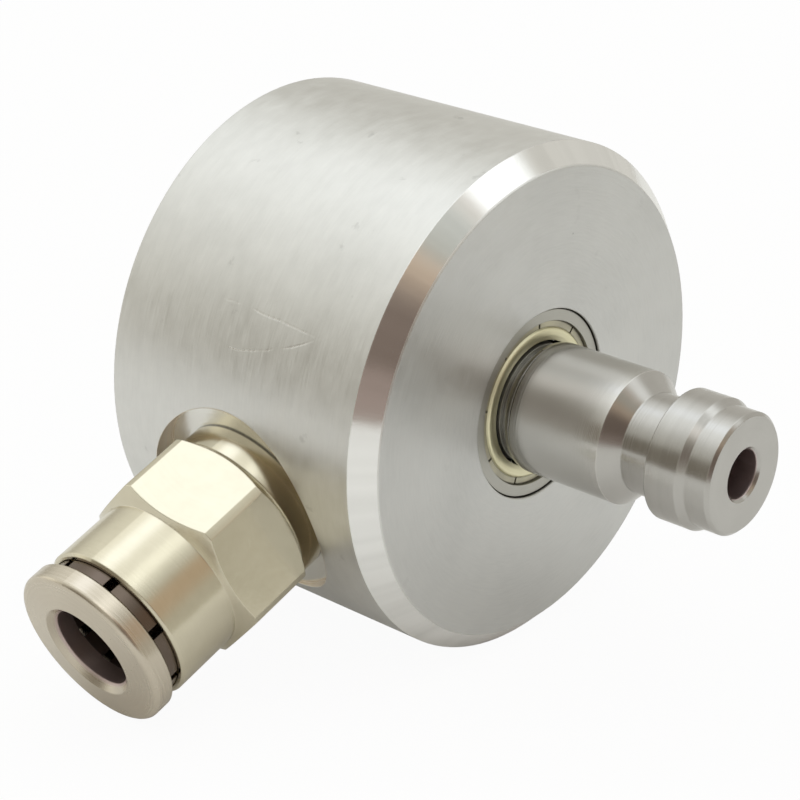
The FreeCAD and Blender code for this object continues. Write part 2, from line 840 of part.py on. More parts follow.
shaft_pieces = [make_housing(), make_rear_cover(), make_shaft(), make_shaft_clip()]
shaft_pieces += make_bearing("rear", rear_bearing_rear, size.rear_bearing_width, False)
shaft_pieces += make_bearing("front", front_bearing_rear, size.front_bearing_width, True)
shaft_pieces += [
    make_shield("front", front_bearing_front, 1),
    make_shield("inner", front_bearing_rear, -1),
    make_shaft_seal("rear_shaft_seal", rear_seal_rear, 1),
    make_shaft_seal("front_shaft_seal", web_rear, -1),
    make_lantern_ring()]
fitting_pieces = [
    make_fitting_body(),
    make_seal_ring(
        "fitting_seal", seal_groove_inner, seal_groove_outer,
        port_floor, port_floor + size.fitting_seal_section),
    make_seal_ring("tube_seal", tube_radius, chamber_radius, chamber_floor, washer_rear),
    make_plain_ring(
        "tube_seal_washer", tube_radius + size.tube_gap, chamber_radius - size.press_gap,
        washer_rear, washer_end),
    make_plain_ring(
        "collet_stop_ring", finger_radius + size.sliding_gap, mouth_radius - size.press_gap,
        mouth_floor, stop_ring_end),
    make_collet()]

# The shaft's pieces turn their Z axis to -Y, and the fitting's pieces turn theirs to the port.
for body in shaft_pieces:
    body.Placement.Rotation = FreeCAD.Rotation(FreeCAD.Vector(1, 0, 0), 90)
for body in fitting_pieces:
    body.Placement = FreeCAD.Placement(
        FreeCAD.Vector(0, -port_station.value, 0),
        FreeCAD.Rotation(FreeCAD.Vector(0, -1, 0), 90 + port_tilt.value))
    body.setExpression("Placement.Base.y", (-port_station).formula)
    body.setExpression("Placement.Rotation.Angle", f"90 + {port_tilt.formula}")
doc.recompute()

for item in doc.Objects:
    if "Invalid" in item.State or "Error" in item.State:
        raise RuntimeError(f"{item.Name} failed to build")
os.makedirs("parts", exist_ok=True)
for body in shaft_pieces + fitting_pieces:
    if body.Shape.isNull() or not body.Shape.isValid():
        raise RuntimeError(f"{body.Label} is not a sound solid")
for body in shaft_pieces + fitting_pieces:
    body.Shape.exportStep(f"parts/{body.Label}.step")
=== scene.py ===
import json
import math

import bpy
from mathutils import Matrix, Vector


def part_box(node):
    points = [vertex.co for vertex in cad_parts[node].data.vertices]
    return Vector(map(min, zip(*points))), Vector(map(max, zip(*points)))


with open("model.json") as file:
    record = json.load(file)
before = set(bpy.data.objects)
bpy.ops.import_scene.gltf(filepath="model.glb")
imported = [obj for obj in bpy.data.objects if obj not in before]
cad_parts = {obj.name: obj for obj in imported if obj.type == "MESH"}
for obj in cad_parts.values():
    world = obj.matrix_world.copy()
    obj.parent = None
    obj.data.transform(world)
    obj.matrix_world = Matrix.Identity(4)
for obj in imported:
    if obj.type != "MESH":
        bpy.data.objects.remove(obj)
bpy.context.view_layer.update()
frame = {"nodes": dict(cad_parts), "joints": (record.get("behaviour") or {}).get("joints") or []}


# Housing: a short cylinder turned from aluminium bar, with a stepped bore for the bearings and a
# flat-bottomed pocket milled in its side for the fitting. The faces keep fine turning rings, the
# front bevel is cut bright with a sharper tool, and handling has left faint marks and scratches.

# Sizes are in millimetres, along an axis from its foot or out from it, unless told otherwise.
MILLIMETRE = 0.001
housing_low, housing_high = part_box("housing")
HOUSING_RADIUS = housing_high.x / MILLIMETRE
FRONT_FACE = -housing_low.y / MILLIMETRE
FRONT_BEVEL = 1.3
BEARING_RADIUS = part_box("front_bearing_outer_ring")[1].x / MILLIMETRE
SHAFT_AXIS = (0, -1, 0)
REAR_FACE = (0, 0, 0)
joints = {joint["name"]: joint for joint in frame["joints"]}
PORT_AXIS = -Vector(joints["collet_slide"]["axis"])
PORT_FOOT = Vector(joints["rotor_spin"]["pos_m"])
PORT_SIDE = 8.5
POCKET_RADIUS = 6.7
POCKET_WALL = 0.2
BEARING_RECESS = 0.2
SEAM_DEPTH = 0.3
HOUSING_LIT = (0.80, 0.80, 0.785, 1)
HOUSING_SHADE = (0.69, 0.69, 0.675, 1)
FRESH_CUT_AND_GLINT = (0.90, 0.90, 0.89, 1)
FACE_DULL = (0.60, 0.605, 0.60, 1)
POCKET_TONE = (0.84, 0.83, 0.79, 1)
WALL_REFLECTION_AND_SHADE = (0.86, 0.74, 0.60, 1)
# Dark dirt, also used as painted shade in seams, creases and gaps between parts
GRIME_AND_SHADE = (0.07, 0.062, 0.052, 1)
# Each runs this length along the side from its start. At a share t of the length it lies round
# the housing at foot + lean * t + bow * t * t. All are in millimetres.
LONG_SCRATCHES = {
    "straight": {"start": 8.3, "length": 7.1, "foot": -18.12, "lean": -0.05, "bow": -0.34},
    "bowed": {"start": 8.65, "length": 6.85, "foot": -20.78, "lean": 0.19, "bow": 1.88},
}
LONG_SCRATCH_WIDTH = 0.12
LONG_SCRATCH_DEPTH = 11
# The lean of the rounded normal from the flat one, at a worn edge and clear of it, as cosines
EDGE_COSINE = 0.86
CLEAR_COSINE = 0.995


class Wire:
    """One socket of a material. Sums with other wires and numbers add Math nodes."""

    def __init__(self, nodes, socket):
        self.nodes = nodes
        self.socket = socket

    def maths(self, operation, left, right):
        """A Math node. The sides are wires or numbers."""
        return self.nodes.add("Math", {"operation": operation}, {0: left, 1: right})

    def __add__(self, other):
        return self.maths("ADD", self, other)

    def __sub__(self, other):
        return self.maths("SUBTRACT", self, other)

    def __mul__(self, other):
        return self.maths("MULTIPLY", self, other)

    def __rsub__(self, other):
        return self.maths("SUBTRACT", other, self)

    __radd__ = __add__
    __rmul__ = __mul__


class Nodes:
    """The nodes of a material or of the world, added one at a time."""

    def __init__(self, owner):
        owner.use_nodes = True
        self.tree = owner.node_tree

    def add(self, kind, settings, sockets, output=0):
        """Adds a node: its settings first, then the values or links of its sockets."""
        node = self.tree.nodes.new("ShaderNode" + kind)
        for name, value in settings.items():
            setattr(node, name, value)
        self.join(node, sockets)
        return Wire(self, node.outputs[output])

    def join(self, node, sockets):
        """Links wires to a node's sockets and sets the other values on them."""
        for name, value in sockets.items():
            if isinstance(value, Wire):
                self.tree.links.new(value.socket, node.inputs[name])
            else:
                node.inputs[name].default_value = value

    def vector_maths(self, operation, left, right, output="Vector"):
        """A Vector Math node. Some operations give their result as a number, under Value."""
        return self.add("VectorMath", {"operation": operation}, {0: left, 1: right}, output)

    def noise(self, place, scale, detail):
        """Cloudy values about 0.5, in space, with this many clouds to the metre."""
        return self.add("TexNoise", {}, {"Vector": place, "Scale": scale, "Detail": detail})

    def line_noise(self, travel, scale):
        """Cloudy values about 0.5, along a single number."""
        settings = {"noise_dimensions": "1D"}
        return self.add("TexNoise", settings, {"W": travel, "Scale": scale, "Detail": 2.0})

    def step(self, value, low, high):
        """A smooth rise from 0 at low to 1 at high."""
        settings = {"interpolation_type": "SMOOTHSTEP"}
        return self.add("MapRange", settings, {"Value": value, "From Min": low, "From Max": high})

    def band(self, value, low, high, soft):
        """1 from low to high and 0 outside, with soft ends."""
        rise = self.step(value, low - soft, low + soft)
        return rise * (1 - self.step(value, high - soft, high + soft))

    def blend(self, share, first, second):
        """A colour part of the way from the first to the second."""
        return self.add("Mix", {"data_type": "RGBA"}, {0: share, 6: first, 7: second}, 2)


class Finish:
    """A material in the making: its nodes, its shader and the place on the piece."""

    def __init__(self, name, **values):
        self.material = bpy.data.materials.new(name)
        self.nodes = Nodes(self.material)
        self.shader = self.nodes.tree.nodes["Principled BSDF"]
        for socket, value in values.items():
            self.shader.inputs[socket.replace("_", " ").title()].default_value = value
        self.place = self.nodes.add("TexCoord", {}, {}, "Object")

    def turned_about(self, axis, foot):
        """How far a place is along a turned piece's axis and out from it, in millimetres.

        Their sum grows along the sides and outwards over the faces, as a lathe tool travels.
        """
        nodes = self.nodes
        from_foot = nodes.vector_maths("SUBTRACT", self.place, foot)
        along = nodes.vector_maths("DOT_PRODUCT", from_foot, axis, "Value")
        aside = nodes.vector_maths("CROSS_PRODUCT", from_foot, axis)
        out = nodes.vector_maths("LENGTH", aside, (0, 0, 0), "Value")
        return along * (1 / MILLIMETRE), out * (1 / MILLIMETRE)

    def turn_about(self, axis, foot):
        """The angle round the axis in radians, from the highest side, with its seam underneath."""
        from_foot = self.nodes.vector_maths("SUBTRACT", self.place, foot)
        top = Vector((0, 0, 1)) - Vector(axis) * axis[2]
        side = top.cross(Vector(axis))
        right = self.nodes.vector_maths("DOT_PRODUCT", from_foot, side, "Value")
        up = self.nodes.vector_maths("DOT_PRODUCT", from_foot, top, "Value")
        return self.nodes.add("Math", {"operation": "ARCTAN2"}, {0: right, 1: up})

    def strokes(self, turn, travel, length, width):
        """Brushed strokes round a turned piece: this long in radians, this wide in millimetres."""
        place = self.nodes.add("CombineXYZ", {}, {0: turn * (1 / length), 1: travel * (1 / width)})
        return self.nodes.noise(place, scale=1.0, detail=3.0) - 0.5

    def tool_lines(self, travel, pitch, length):
        """Lines left by a lathe tool at this pitch. They fade and shift after this length or so."""
        drift = self.nodes.noise(self.place, scale=1 / (length * MILLIMETRE), detail=1.0)
        lines = self.nodes.line_noise(travel + drift * pitch, 1 / pitch)
        return (lines - 0.5) * (0.4 + drift * 1.2)

    def scratches(self, size, width, share):
        """Fine curved scratches: the level lines of clouds of this size in millimetres.

        The width is a part of the clouds' height. A second cloud keeps this share of them.
        """
        cloud = self.nodes.noise(self.place, scale=1 / (size * MILLIMETRE), detail=0.6)
        line = self.nodes.band(cloud, 0.5, 0.5, width)
        gaps = self.nodes.noise(self.place, scale=2.3 / (size * MILLIMETRE), detail=1.5)
        return line * self.nodes.step(gaps, 1 - share, 1.05 - share)

    def pits(self, spacing, radius, share):
        """Small round pits of this radius, in groups. The lengths are in millimetres."""
        settings = {"Vector": self.place, "Scale": 1 / (spacing * MILLIMETRE)}
        near = self.nodes.add("TexVoronoi", {}, settings, "Distance")
        spot = 1 - self.nodes.step(near, radius / spacing * 0.5, radius / spacing)
        groups = self.nodes.noise(self.place, scale=0.4 / (spacing * MILLIMETRE), detail=1.0)
        return spot * self.nodes.step(groups, 1 - share, 1.04 - share)

    def rounded_edge(self, reach):
        """The normal rounded over edges within this reach, and 1 where an edge is near."""
        soft = self.nodes.add("Bevel", {"samples": 4}, {"Radius": reach * MILLIMETRE})
        flat = self.nodes.add("NewGeometry", {}, {}, "Normal")
        same = self.nodes.vector_maths("DOT_PRODUCT", soft, flat, "Value")
        return soft, 1 - self.nodes.step(same, EDGE_COSINE, CLEAR_COSINE)

    def close(self, colour, roughness, height, depth, normal):
        """Joins the surface to the shader. A height of 1 stands up by the depth, in millimetres."""
        bump = self.nodes.add("Bump", {}, {
            "Strength": 1.0, "Distance": depth * MILLIMETRE, "Height": height, "Normal": normal})
        self.nodes.join(self.shader, {"Base Color": colour, "Roughness": roughness, "Normal": bump})

    def give(self, *names):
        """Puts the finish on CAD nodes."""
        for name in names:
            frame["nodes"][name].material_slots[0].material = self.material


def finish_housing():
    finish = Finish("turned_aluminium", metallic=1.0)
    nodes = finish.nodes
    along, out = finish.turned_about(SHAFT_AXIS, REAR_FACE)
    turn = finish.turn_about(SHAFT_AXIS, REAR_FACE)
    port_along, port_out = finish.turned_about(PORT_AXIS, PORT_FOOT)

    # The skin: strokes left by the tool, clouds, smudges, scratches and pits
    fine = finish.strokes(turn, along + out, length=0.12, width=0.14)
    broad = finish.strokes(turn, along + out, length=0.11, width=0.6)
    cloud = nodes.noise(finish.place, scale=170, detail=3.0) - 0.5
    mottle = nodes.noise(finish.place, scale=800, detail=3.0) - 0.5
    patches = nodes.line_noise(turn, scale=9.0) - 0.5
    smudge = nodes.step(nodes.noise(finish.place, scale=640, detail=5.0), 0.67, 0.74)
    scratch = finish.scratches(size=3.4, width=0.005, share=0.44)
    on_side = nodes.step(out, HOUSING_RADIUS - 0.1, HOUSING_RADIUS)
    for shape in LONG_SCRATCHES.values():
        travel = (along - shape["start"]) * (1 / shape["length"])
        bend = travel * (travel * shape["bow"] + shape["lean"])
        aside = turn * HOUSING_RADIUS - bend - shape["foot"]
        line = nodes.band(aside + mottle * 0.3, 0.0, 0.0, LONG_SCRATCH_WIDTH)
        line = line * nodes.band(travel, 0.0, 1.0, 0.1) * on_side
        scratch = scratch + line * nodes.step(mottle, -0.16, 0.06) * LONG_SCRATCH_DEPTH
    pit = finish.pits(spacing=2.6, radius=0.09, share=0.36)
    soft, edge = finish.rounded_edge(reach=0.09)

    # Places: the bevel, the front face, the pocket and its wall, and the seam round the bearing
    bevel_start = FRONT_FACE - FRONT_BEVEL
    bevel_rim = HOUSING_RADIUS - FRONT_BEVEL - FRONT_FACE
    on_bevel = nodes.step(along, bevel_start - 0.03, bevel_start + 0.02)
    on_bevel = on_bevel * nodes.step(out - along, bevel_rim + 0.14, bevel_rim + 0.24)
    on_face = nodes.step(along, FRONT_FACE - 0.05, FRONT_FACE - 0.01)
    in_pocket = 1 - nodes.step(port_out, POCKET_RADIUS - 0.02, POCKET_RADIUS + 0.06)
    in_pocket = in_pocket * nodes.step(port_along, PORT_SIDE - 0.5, PORT_SIDE + 0.5)
    on_wall = nodes.step(port_out, POCKET_RADIUS - POCKET_WALL, POCKET_RADIUS - 0.05)
    on_wall = on_wall * in_pocket
    milled = finish.tool_lines(port_out + port_along, pitch=0.22, length=2.0)
    seam_level = FRONT_FACE - BEARING_RECESS
    seam = nodes.band(along, seam_level - SEAM_DEPTH, seam_level + 0.03, 0.03)
    seam = seam * (1 - nodes.step(out, BEARING_RADIUS + 0.02, BEARING_RADIUS + 0.05))

    tone = 0.5 + cloud + mottle * 0.8 + fine * 0.5 + broad * 0.9
    colour = nodes.blend(tone, HOUSING_SHADE, HOUSING_LIT)
    colour = nodes.blend(on_bevel * (0.85 + patches * 1.5), colour, FRESH_CUT_AND_GLINT)
    colour = nodes.blend(on_face * (0.7 + cloud * 0.8 + fine * 0.5), colour, FACE_DULL)
    colour = nodes.blend(in_pocket * (0.85 + milled * 0.5), colour, POCKET_TONE)
    # Painted reflection and shade: the pocket's wall is tinted warm brown.
    colour = nodes.blend(on_wall * (0.8 + milled * 0.4), colour, WALL_REFLECTION_AND_SHADE)
    colour = nodes.blend(smudge * 0.17 * (1 - on_bevel) * (1 - on_face * 0.75), colour, GRIME_AND_SHADE)
    # Scratches and worn edges are lighter; on edges this is also a painted highlight, a glint.
    colour = nodes.blend(scratch * 0.25 + edge * 0.4, colour, FRESH_CUT_AND_GLINT)
    colour = nodes.blend(pit * 0.55, colour, GRIME_AND_SHADE)
    # Dirt and painted shade: the seam round the front bearing is painted dark.
    colour = nodes.blend(seam * 0.9, colour, GRIME_AND_SHADE)
    roughness = 0.37 + cloud * 0.12 + mottle * 0.12 + fine * 0.08 + broad * 0.16 - scratch * 0.04
    roughness = roughness * (1 - on_bevel * 0.64 - in_pocket * 0.4)
    roughness = roughness + seam * 0.2 + on_wall * 0.2 - edge * 0.08
    height = fine * (1 - on_bevel * 0.7) * (1 - in_pocket) + milled * in_pocket
    height = height - scratch * 0.3 - pit * 0.8
    height = height + (mottle * 1.1 + broad * 0.75) * (1 - on_bevel * 0.5)
    finish.close(colour, roughness, height, depth=0.007, normal=soft)
    finish.give("housing")


finish_housing()


# Ball bearings: hardened steel rings with ground faces, chromed balls, and crown cages pressed
# from strip. Both sit in the housing's bore. They are pressed in, with a little oil and painted
# shade round the seat.

RING_LIT = (0.56, 0.555, 0.52, 1)
RING_SHADE = (0.46, 0.455, 0.42, 1)
BALL_LIT = (0.74, 0.74, 0.75, 1)
BALL_SHADE = (0.64, 0.64, 0.65, 1)
CAGE_LIT = (0.56, 0.51, 0.43, 1)
CAGE_SHADE = (0.38, 0.34, 0.28, 1)


def rim_dirt_and_shade(nodes, out, radius, width):
    """1 on the last of a face before its outer edge, where oil and dust collect and the seam's
    shade is painted.
    """
    return nodes.step(out, radius - width, radius - width + 0.06)


def finish_rings():
    finish = Finish("ground_steel", metallic=1.0)
    nodes = finish.nodes
    along, out = finish.turned_about(SHAFT_AXIS, REAR_FACE)
    ground = finish.tool_lines(along + out, pitch=0.05, length=2.0)
    cloud = nodes.noise(finish.place, scale=500, detail=3.0)
    soft, edge = finish.rounded_edge(reach=0.05)
    seat_oil_and_shade = rim_dirt_and_shade(nodes, out, BEARING_RADIUS, width=0.11)
    colour = nodes.blend(0.5 + ground * 0.9 + (cloud - 0.5) * 0.7, RING_SHADE, RING_LIT)
    # Dirt and painted shade: the ring's outer rim at the seam is painted dark.
    colour = nodes.blend(seat_oil_and_shade * 0.8, colour, GRIME_AND_SHADE)
    roughness = 0.42 + ground * 0.12 + (cloud - 0.5) * 0.14 + seat_oil_and_shade * 0.2 - edge * 0.05
    finish.close(colour, roughness, ground, depth=0.004, normal=soft)
    finish.give("front_bearing_outer_ring", "front_bearing_inner_ring")
    finish.give("rear_bearing_outer_ring", "rear_bearing_inner_ring")


def finish_balls():
    finish = Finish("polished_steel", metallic=1.0)
    nodes = finish.nodes
    cloud = nodes.noise(finish.place, scale=700, detail=3.0)
    scratch = finish.scratches(size=1.2, width=0.01, share=0.5)
    colour = nodes.blend(0.5 + (cloud - 0.5) * 0.8, BALL_SHADE, BALL_LIT)
    roughness = 0.1 + (cloud - 0.5) * 0.06 + scratch * 0.12
    soft, edge = finish.rounded_edge(reach=0.02)
    finish.close(colour, roughness + edge * 0.02, cloud - scratch * 0.5, depth=0.0015, normal=soft)
    finish.give("front_bearing_balls", "rear_bearing_balls")


def finish_cages():
    finish = Finish("pressed_strip", metallic=1.0)
    nodes = finish.nodes
    cloud = nodes.noise(finish.place, scale=900, detail=4.0)
    stretched = nodes.vector_maths("MULTIPLY", finish.place, (1, 0.2, 1))
    rolled = nodes.noise(stretched, scale=2600, detail=2.0)
    soft, edge = finish.rounded_edge(reach=0.05)
    colour = nodes.blend(cloud * 0.7 + rolled * 0.4 + edge * 0.3, CAGE_SHADE, CAGE_LIT)
    roughness = 0.34 + (rolled - 0.5) * 0.2 - edge * 0.1
    finish.close(colour, roughness, cloud + rolled, depth=0.004, normal=soft)
    finish.give("front_bearing_cage", "rear_bearing_cage")


finish_rings()
finish_balls()
finish_cages()


# Shields of the front bearing: thin pressed steel with a yellow passivated skin. The rolled dome
# holds its yellow. The slit flange springs into the outer ring and is rubbed grey.

DOME_LIT = (0.92, 0.89, 0.67, 1)
DOME_SHADE = (0.79, 0.75, 0.51, 1)
FLANGE_LIT = (0.50, 0.48, 0.40, 1)
DOME_FOOT = 4.76
FLANGE_SEAT = 5.2


def finish_shields():
    finish = Finish("yellow_passivated_steel", metallic=1.0)
    nodes = finish.nodes
    along, out = finish.turned_about(SHAFT_AXIS, REAR_FACE)
    drawn = finish.tool_lines(along + out, pitch=0.06, length=1.2)
    cloud = nodes.noise(finish.place, scale=700, detail=3.0)
    scratch = finish.scratches(size=1.6, width=0.008, share=0.5)
    soft = finish.rounded_edge(reach=0.04)[0]
    rubbed = nodes.step(out, DOME_FOOT - 0.02, DOME_FOOT + 0.03)
    crease = nodes.band(out, DOME_FOOT, DOME_FOOT + 0.03, 0.03)
    rim = rim_dirt_and_shade(nodes, out, FLANGE_SEAT, width=0.11)
    colour = nodes.blend(0.5 + drawn * 0.7 + (cloud - 0.5) * 0.9, DOME_SHADE, DOME_LIT)
    colour = nodes.blend(rubbed * (0.85 + (cloud - 0.5) * 0.8), colour, FLANGE_LIT)
    # Dirt and painted shade: the crease at the dome's foot and the rim at the outer ring are
    # painted dark.
    colour = nodes.blend(crease * 0.75 + rim * 0.75, colour, GRIME_AND_SHADE)
    roughness = 0.45 + (cloud - 0.5) * 0.16 + scratch * 0.1 + rubbed * 0.05
    finish.close(colour, roughness, drawn - scratch * 0.4, depth=0.003, normal=soft)
    finish.give("front_shield", "inner_shield")


finish_shields()


# Shaft seals: one moulded lip seal on each side of the flow chamber, of black nitrile rubber.
# The same rubber makes the ring under the fitting's collar and the tube's own seal.

RUBBER_DARK = (0.018, 0.018, 0.019, 1)
RUBBER_DUSTY = (0.05, 0.048, 0.045, 1)


def finish_rubber():
    finish = Finish("nitrile_rubber", metallic=0.0)
    nodes = finish.nodes
    along, out = finish.turned_about(SHAFT_AXIS, REAR_FACE)
    flow = finish.tool_lines(along + out, pitch=0.3, length=2.0)
    grain = nodes.noise(finish.place, scale=4200, detail=3.0)
    bloom = nodes.noise(finish.place, scale=420, detail=3.0)
    soft, edge = finish.rounded_edge(reach=0.05)
    colour = nodes.blend(nodes.step(bloom, 0.42, 0.75) + edge * 0.15, RUBBER_DARK, RUBBER_DUSTY)
    roughness = 0.5 + (bloom - 0.5) * 0.25 + flow * 0.1
    finish.close(colour, roughness, grain + flow * 0.6, depth=0.008, normal=soft)
    finish.give("front_shaft_seal", "rear_shaft_seal", "fitting_seal", "tube_seal")


finish_rubber()


# Lantern ring: turned from brass bar and cross drilled. It keeps the seals apart and lets the flow
# through to the shaft, so its skin has gone a little brown.

BRASS_LIT = (0.80, 0.63, 0.32, 1)
BRASS_TARNISH = (0.50, 0.36, 0.17, 1)


def finish_lantern_ring():
    finish = Finish("turned_brass", metallic=1.0)
    nodes = finish.nodes
    along, out = finish.turned_about(SHAFT_AXIS, REAR_FACE)
    lines = finish.tool_lines(along + out, pitch=0.1, length=2.0)
    tarnish = nodes.noise(finish.place, scale=320, detail=4.0)
    soft, edge = finish.rounded_edge(reach=0.06)
    colour = nodes.blend(nodes.step(tarnish, 0.4, 0.8) - edge * 0.3, BRASS_LIT, BRASS_TARNISH)
    roughness = 0.28 + (tarnish - 0.5) * 0.3 + lines * 0.1
    finish.close(colour, roughness, lines, depth=0.008, normal=soft)
    finish.give("lantern_ring")


finish_lantern_ring()


# Shaft: turned in one piece from stainless bar, hollow from the nose to the cross holes. The
# bearing seats are ground. The plug's cone, groove and head were cut with one form tool and
# polished with emery, which leaves soft streaks round it. The bore is dark with old oil.

STEEL_LIT = (0.57, 0.56, 0.54, 1)
STEEL_SHADE = (0.46, 0.45, 0.43, 1)
GROUND_BRIGHT_AND_GLINT = (0.76, 0.75, 0.725, 1)
OLD_OIL = (0.58, 0.46, 0.46, 1)
SHANK_RADIUS = 4.1
SHANK_END = 28.0
FLOW_BORE_RADIUS = 1.5
ROOT_LINE = 21.52
ROOT_LINE_WIDTH = 0.16


def finish_shaft():
    finish = Finish("turned_stainless", metallic=1.0)
    nodes = finish.nodes
    along, out = finish.turned_about(SHAFT_AXIS, REAR_FACE)
    fine = finish.tool_lines(along + out, pitch=0.09, length=2.0)
    broad = finish.tool_lines(along + out, pitch=0.5, length=5.0)
    cloud = nodes.noise(finish.place, scale=420, detail=3.0)
    scratch = finish.scratches(size=2.6, width=0.006, share=0.45)
    pit = finish.pits(spacing=1.3, radius=0.05, share=0.42)
    soft, edge = finish.rounded_edge(reach=0.08)
    in_bore = 1 - nodes.step(out, FLOW_BORE_RADIUS, FLOW_BORE_RADIUS + 0.06)
    line = nodes.band(along, ROOT_LINE, ROOT_LINE, ROOT_LINE_WIDTH / 2)
    line = line * nodes.step(out, SHANK_RADIUS - 0.5, SHANK_RADIUS - 0.4)
    tone = 0.5 + fine * 0.4 + broad * 0.4 + (cloud - 0.5) * 0.9
    colour = nodes.blend(tone, STEEL_SHADE, STEEL_LIT)
    on_shank = nodes.step(out, SHANK_RADIUS - 0.2, SHANK_RADIUS - 0.14)
    on_shank = on_shank * (1 - nodes.step(along, SHANK_END - 0.05, SHANK_END + 0.05))
    # The ground shank is lighter; edges are lighter as wear and as a painted highlight, a glint.
    colour = nodes.blend(on_shank * 0.85 + edge * 0.4, colour, GROUND_BRIGHT_AND_GLINT)
    # Painted shade: the root next to the front bearing is painted darker, and the thin line at the
    # root is painted dark as dirt and shade.
    root_painted_shade = 1 - nodes.step(along, ROOT_LINE - 0.1, ROOT_LINE + 0.7)
    colour = nodes.blend(pit * 0.5 + line * 0.6 + root_painted_shade * 0.4, colour, GRIME_AND_SHADE)
    colour = nodes.blend(in_bore * 0.8, colour, OLD_OIL)
    roughness = 0.21 + (cloud - 0.5) * 0.12 + fine * 0.08 + scratch * 0.1
    roughness = roughness + in_bore * 0.2 - edge * 0.04
    height = fine + broad * 0.4 - scratch * 0.4 - pit * 0.7
    finish.close(colour, roughness, height, depth=0.003, normal=soft)
    finish.give("rotor_shaft")


finish_shaft()


# Shaft clip: stamped from spring steel and blackened. It is sprung into the groove at the shaft's
# rear end, behind the rear bearing, and the groove's sides have rubbed it bare in places.

CLIP_BLACK = (0.10, 0.10, 0.105, 1)
CLIP_WORN = (0.34, 0.33, 0.32, 1)


def finish_clip():
    finish = Finish("blackened_spring_steel", metallic=0.9)
    nodes = finish.nodes
    grain = nodes.noise(finish.place, scale=1500, detail=4.0)
    rubbing = nodes.noise(finish.place, scale=380, detail=3.0)
    soft, edge = finish.rounded_edge(reach=0.06)
    colour = nodes.blend(nodes.step(rubbing, 0.5, 0.85) + edge * 0.5, CLIP_BLACK, CLIP_WORN)
    roughness = 0.42 + (grain - 0.5) * 0.2 - edge * 0.1
    finish.close(colour, roughness, grain, depth=0.006, normal=soft)
    finish.give("shaft_clip")


finish_clip()


# Rear cover: a flat aluminium disc, pressed flush into the housing's rear face. The lathe's facing
# tool has left rings about its middle, and the seam round it is darker.

COVER_LIT = (0.79, 0.79, 0.78, 1)
COVER_SHADE = (0.66, 0.66, 0.65, 1)
COVER_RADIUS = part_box("rear_cover")[1].x / MILLIMETRE


def finish_cover():
    finish = Finish("faced_aluminium", metallic=1.0)
    nodes = finish.nodes
    along, out = finish.turned_about(SHAFT_AXIS, REAR_FACE)
    rings = finish.tool_lines(along + out, pitch=0.2, length=4.0)
    cloud = nodes.noise(finish.place, scale=260, detail=3.0)
    scratch = finish.scratches(size=3.5, width=0.006, share=0.45)
    soft, edge = finish.rounded_edge(reach=0.08)
    seam = rim_dirt_and_shade(nodes, out, COVER_RADIUS, width=0.09)
    colour = nodes.blend(0.5 + rings * 1.1 + (cloud - 0.5) * 0.8, COVER_SHADE, COVER_LIT)
    colour = nodes.blend(seam * 0.6, colour, GRIME_AND_SHADE)
    roughness = 0.31 + (cloud - 0.5) * 0.14 + rings * 0.14 - edge * 0.06
    finish.close(colour, roughness, rings - scratch * 0.4, depth=0.012, normal=soft)
    finish.give("rear_cover")


finish_cover()


# Fitting: turned from hexagon brass bar and nickel plated, which leaves a warm champagne tint. The
# flats are the bar's own drawn skin. The round parts show the lathe's lines through the plating.

PLATE_LIT = (0.74, 0.69, 0.55, 1)
PLATE_SHADE = (0.63, 0.58, 0.445, 1)
PLATE_WORN_AND_GLINT = (0.86, 0.81, 0.68, 1)
POCKET_FLOOR = 14.45
BARREL_START = 22.1
BARREL_RADIUS = 5.15
TUBE_BORE_RADIUS = 4.45


def finish_fitting():
    finish = Finish("nickel_plated_brass", metallic=1.0)
    nodes = finish.nodes
    along, out = finish.turned_about(PORT_AXIS, PORT_FOOT)
    lines = finish.tool_lines(along + out, pitch=0.11, length=2.5)
    cloud = nodes.noise(finish.place, scale=230, detail=3.0)
    dimple = nodes.noise(finish.place, scale=1300, detail=2.0)
    scratch = finish.scratches(size=3.0, width=0.006, share=0.46)
    pit = finish.pits(spacing=1.7, radius=0.06, share=0.44)
    soft, edge = finish.rounded_edge(reach=0.1)
    is_round = nodes.band(out, BARREL_RADIUS - 0.1, BARREL_RADIUS + 0.1, 0.05)
    is_round = is_round * nodes.step(along, BARREL_START - 0.1, BARREL_START + 0.1)
    inside = 1 - nodes.step(out, TUBE_BORE_RADIUS, TUBE_BORE_RADIUS + 0.2)
    foot = 1 - nodes.step(along, POCKET_FLOOR + 0.02, POCKET_FLOOR + 0.16)
    tone = 0.5 + (cloud - 0.5) * 1.3 + lines * 0.25 + (dimple - 0.5) * 0.4
    colour = nodes.blend(tone, PLATE_SHADE, PLATE_LIT)
    # Worn edges are lighter; this is also a painted highlight, a glint along each edge.
    colour = nodes.blend(edge * 0.35, colour, PLATE_WORN_AND_GLINT)
    colour = nodes.blend(pit * 0.4, colour, GRIME_AND_SHADE)
    colour = nodes.blend(inside * 0.7, colour, OLD_OIL)
    # Dirt and painted shade: the fitting's foot, where it meets the pocket floor, is painted dark.
    colour = nodes.blend(foot * 0.85, colour, GRIME_AND_SHADE)
    roughness = 0.17 + (cloud - 0.5) * 0.12 + is_round * 0.03 + scratch * 0.1 - edge * 0.03
    height = lines * (0.1 + is_round * 0.3) + (dimple - 0.5) * 0.5 - scratch * 0.4 - pit
    finish.close(colour, roughness, height, depth=0.005, normal=soft)
    finish.give("fitting_body")


finish_fitting()


# Inside the fitting: a moulded plastic washer over the tube's seal, and a pressed brass ring that
# keeps the collet in.

PLASTIC_LIT = (0.80, 0.79, 0.74, 1)
PLASTIC_SHADE = (0.66, 0.64, 0.58, 1)


